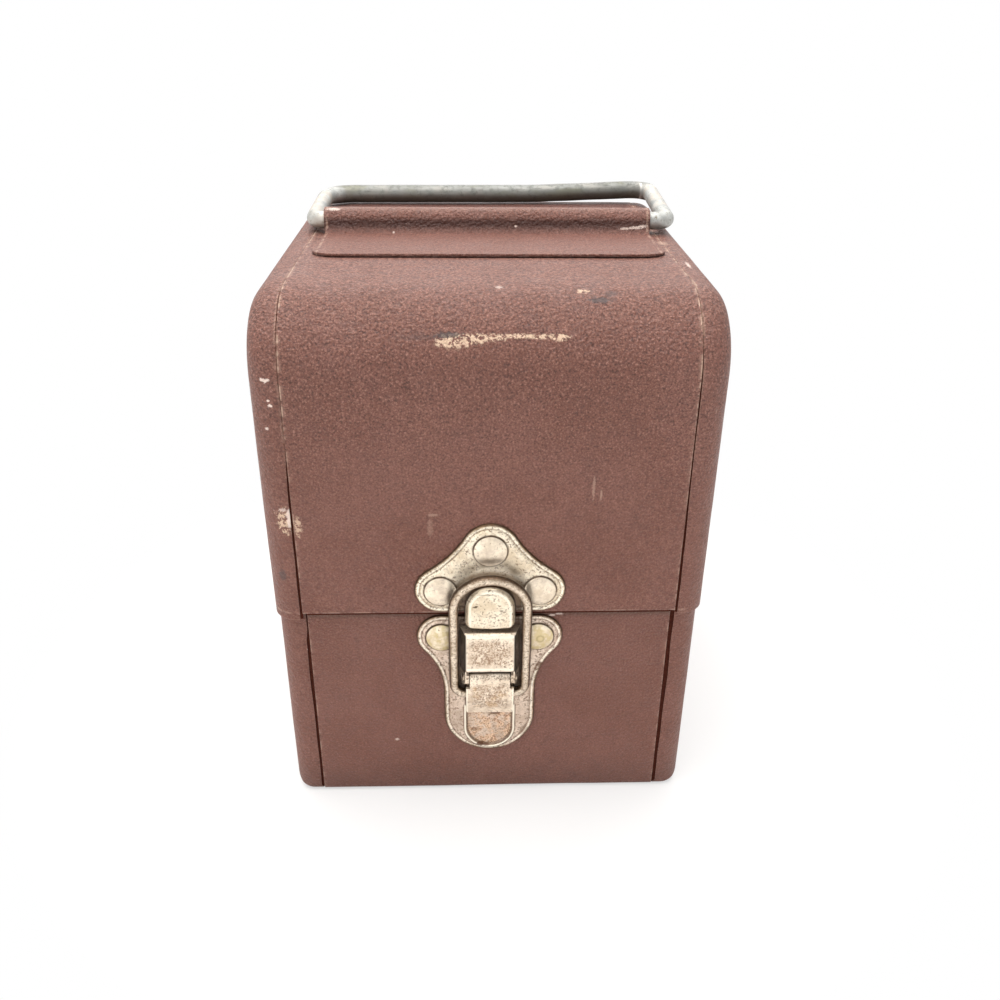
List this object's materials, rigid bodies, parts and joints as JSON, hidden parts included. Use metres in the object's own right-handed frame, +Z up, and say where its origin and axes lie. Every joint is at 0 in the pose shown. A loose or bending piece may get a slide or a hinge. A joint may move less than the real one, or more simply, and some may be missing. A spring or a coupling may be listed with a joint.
{
  "type": "film can carrying case",
  "caption": "Deep rounded fibre case for film cans: hinged lid with a swinging rod bail handle, and a riveted draw latch with crank lever and wire loop.",
  "frame": {"origin": "centre of the base's flat underside, on the surface the case stands on", "axes": "+X to the right as seen from the latch, +Y from the latch to the hinges, +Z up"},
  "size_m": [0.1664, 0.2102, 0.2245],
  "materials": {
    "fibre": "satin, finely pebbled",
    "latch_steel": "dull nickel plate, spotted with rust",
    "rivet_steel": "worn nickel plate",
    "wire_steel": "worn nickel plate",
    "bail_steel": "zinc plate, stained",
    "hinge_steel": "dull nickel plate"
  },
  "bodies": {
    "base": {"base_wrap": "fibre", "base_cap_left": "fibre", "base_cap_right": "fibre", "latch_plate": "latch_steel", "latch_plate_rivets": "rivet_steel", "latch_plate_burrs": "rivet_steel", "lever_bracket": "latch_steel", "lever_pin": "wire_steel", "hinge_base_leaf_left": "hinge_steel", "hinge_base_leaf_right": "hinge_steel", "hinge_base_rivets": "hinge_steel", "hinge_base_burrs": "hinge_steel", "hinge_pin_left": "hinge_steel", "hinge_pin_right": "hinge_steel"},
    "lid": {"lid_wrap": "fibre", "lid_cap_left": "fibre", "lid_cap_right": "fibre", "handle_strip": "fibre", "strike_plate": "latch_steel", "strike_rivets": "rivet_steel", "strike_burrs": "rivet_steel", "hinge_lid_leaf_left": "hinge_steel", "hinge_lid_leaf_right": "hinge_steel", "hinge_lid_rivets": "hinge_steel", "hinge_lid_burrs": "hinge_steel"},
    "bail": {"bail_handle": "bail_steel"},
    "lever": {"latch_lever": "latch_steel"},
    "loop": {"latch_loop": "wire_steel"}
  },
  "joints": [
    {"name": "lid_hinge", "type": "hinge", "parent": "base", "child": "lid", "pos_m": [0, 0.10045, 0.0908], "axis": [-1, 0, 0], "range_deg": [0, 135]},
    {"name": "bail_swing", "type": "hinge", "parent": "lid", "child": "bail", "pos_m": [0, 0.0062, 0.21935], "axis": [1, 0, 0], "range_deg": [0, 180]},
    {"name": "lever_pivot", "type": "hinge", "parent": "base", "child": "lever", "pos_m": [0, -0.1, 0.0642], "axis": [-1, 0, 0], "range_deg": [0, 100]},
    {"name": "loop_swing", "type": "hinge", "parent": "lever", "child": "loop", "pos_m": [0, -0.0989, 0.0553], "axis": [-1, 0, 0], "range_deg": [-115, 0]}
  ],
  "couplings": [
    {"joint": "loop_swing", "follows": "lever_pivot", "ratio": -1.15}
  ]
}
